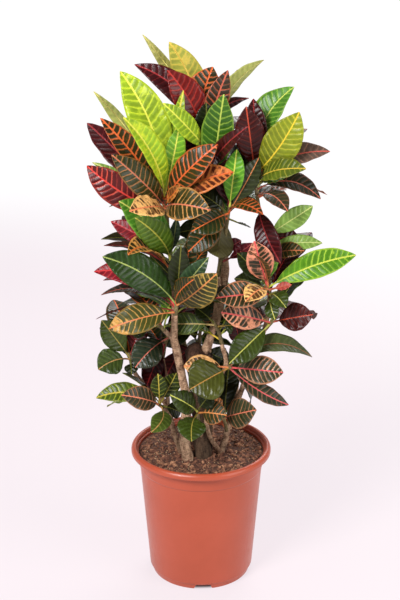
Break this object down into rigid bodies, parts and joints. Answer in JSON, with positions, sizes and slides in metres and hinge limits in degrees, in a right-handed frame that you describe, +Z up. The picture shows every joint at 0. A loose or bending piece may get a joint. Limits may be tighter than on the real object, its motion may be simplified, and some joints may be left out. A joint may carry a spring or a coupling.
{
  "type": "potted croton",
  "caption": "Bushy potted croton with woody stems and large variegated leaves in a round tapered plastic nursery pot.",
  "frame": {"origin": "centre of the plant's bounding box in plan, at the floor under the pot's foot", "axes": "+Z up along the stems, front of the plant towards -Y"},
  "size_m": [0.486, 0.3948, 1.0386],
  "materials": {
    "pot": "smooth, slightly glossy",
    "mix": "loose, rough",
    "bark": "rough",
    "leaves_left_high": "waxy, glossy upper face",
    "leaves_left_low": "waxy, glossy upper face",
    "leaves_right_mid": "waxy, glossy upper face",
    "leaves_right_low": "waxy, glossy upper face",
    "leaves_centre_low": "waxy, glossy upper face",
    "leaves_centre_mid": "waxy, glossy upper face",
    "leaves_right_high": "waxy, glossy upper face",
    "leaves_centre_high": "waxy, glossy upper face",
    "leaves_centre_inner": "waxy, glossy upper face",
    "leaves_left_inner": "waxy, glossy upper face",
    "leaves_left_far": "waxy, glossy upper face",
    "leaves_left_back": "waxy, glossy upper face",
    "leaves_left_base": "waxy, glossy upper face",
    "leaves_front_base": "waxy, glossy upper face",
    "leaves_right_base": "waxy, glossy upper face",
    "leaves_back_high": "waxy, glossy upper face",
    "leaves_back_left": "waxy, glossy upper face",
    "leaves_back_right": "waxy, glossy upper face",
    "leaves_back_low": "waxy, glossy upper face"
  },
  "bodies": {
    "root": {"pot": "pot", "soil": "mix", "trunk_front": "bark", "trunk_centre": "bark", "trunk_right": "bark", "trunk_left": "bark", "left_high": "leaves_left_high", "left_low": "leaves_left_low", "right_mid": "leaves_right_mid", "right_low": "leaves_right_low", "centre_low": "leaves_centre_low", "centre_mid": "leaves_centre_mid", "right_high": "leaves_right_high", "centre_high": "leaves_centre_high", "centre_inner": "leaves_centre_inner", "left_inner": "leaves_left_inner", "left_far": "leaves_left_far", "left_back": "leaves_left_back", "left_base": "leaves_left_base", "front_base": "leaves_front_base", "right_base": "leaves_right_base", "back_high": "leaves_back_high", "back_left": "leaves_back_left", "back_right": "leaves_back_right", "back_low": "leaves_back_low"}
  },
  "joints": []
}
